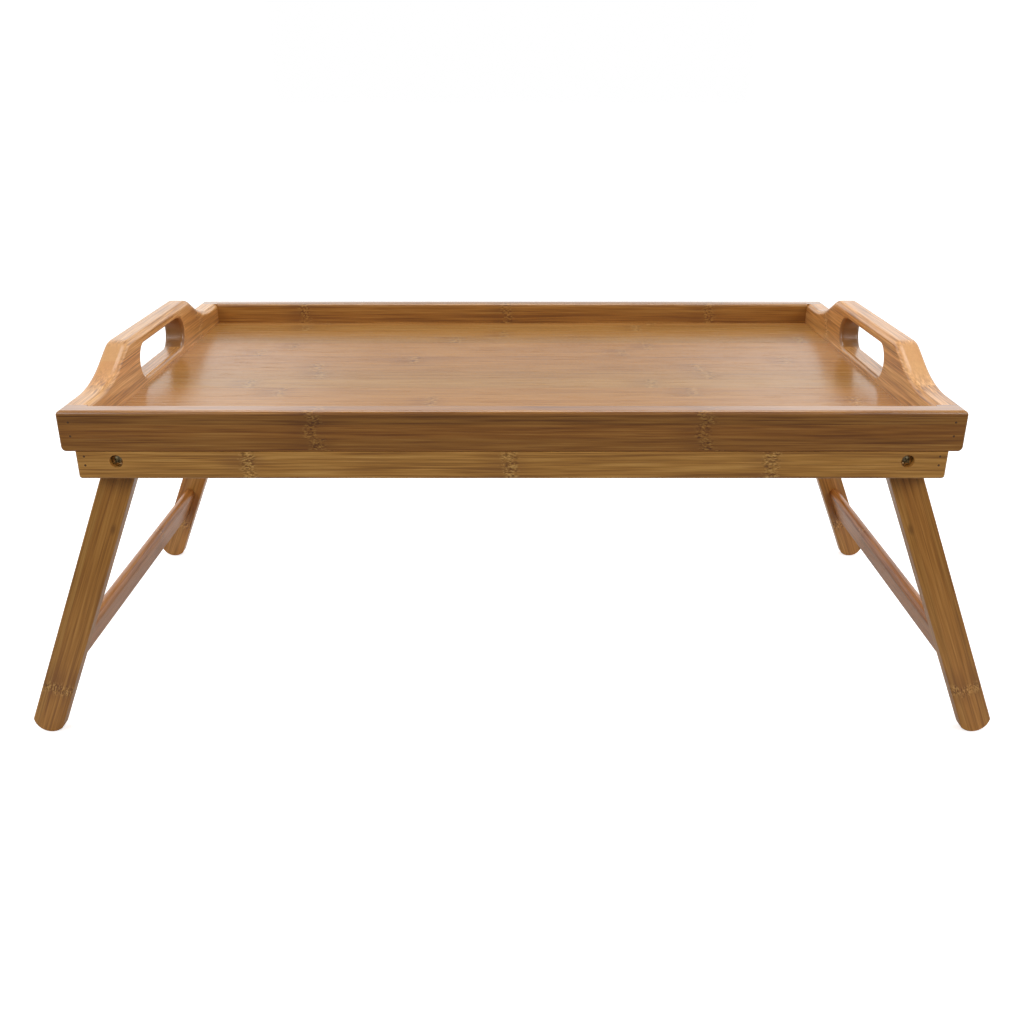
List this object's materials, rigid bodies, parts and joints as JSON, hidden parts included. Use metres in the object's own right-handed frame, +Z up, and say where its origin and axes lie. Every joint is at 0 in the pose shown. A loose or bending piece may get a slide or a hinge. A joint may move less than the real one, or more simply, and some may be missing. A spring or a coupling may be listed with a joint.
{
  "type": "folding tray table",
  "caption": "Bamboo bed tray with a shallow raised rim, cut-out end handles and splayed leg frames that fold flat under the tray.",
  "frame": {"origin": "on the floor under the middle of the open table, at the bottom centre of its box", "axes": "+X along the tray's length to the right, +Y from the front rail to the back rail, +Z up"},
  "size_m": [0.6072, 0.3, 0.2353],
  "materials": {
    "panel_bamboo": "gloss lacquer",
    "frame_bamboo": "satin lacquer",
    "leg_bamboo": "satin lacquer",
    "screw_brass": "dull plated",
    "zinc_steel": "zinc plated",
    "nylon": "matte"
  },
  "bodies": {
    "tray": {"tray_panel": "panel_bamboo", "front_rail": "frame_bamboo", "back_rail": "frame_bamboo", "left_side_board": "frame_bamboo", "right_side_board": "frame_bamboo", "front_apron": "frame_bamboo", "back_apron": "frame_bamboo", "left_cross_rail": "frame_bamboo", "right_cross_rail": "frame_bamboo", "pivot_screws": "screw_brass", "spacer_washers": "nylon", "nut_washers": "zinc_steel", "lock_nuts": "zinc_steel", "rail_brads": "zinc_steel", "apron_brads": "zinc_steel"},
    "left_legs": {"front_left_leg": "leg_bamboo", "back_left_leg": "leg_bamboo", "left_stretcher": "leg_bamboo"},
    "right_legs": {"front_right_leg": "leg_bamboo", "back_right_leg": "leg_bamboo", "right_stretcher": "leg_bamboo"}
  },
  "joints": [
    {"name": "left_leg_fold", "type": "hinge", "parent": "tray", "child": "left_legs", "pos_m": [-0.2204, 0, 0.18804], "axis": [0, -1, 0], "range_deg": [0, 112.3]},
    {"name": "right_leg_fold", "type": "hinge", "parent": "tray", "child": "right_legs", "pos_m": [0.2204, 0, 0.18804], "axis": [0, 1, 0], "range_deg": [0, 112.3]}
  ]
}
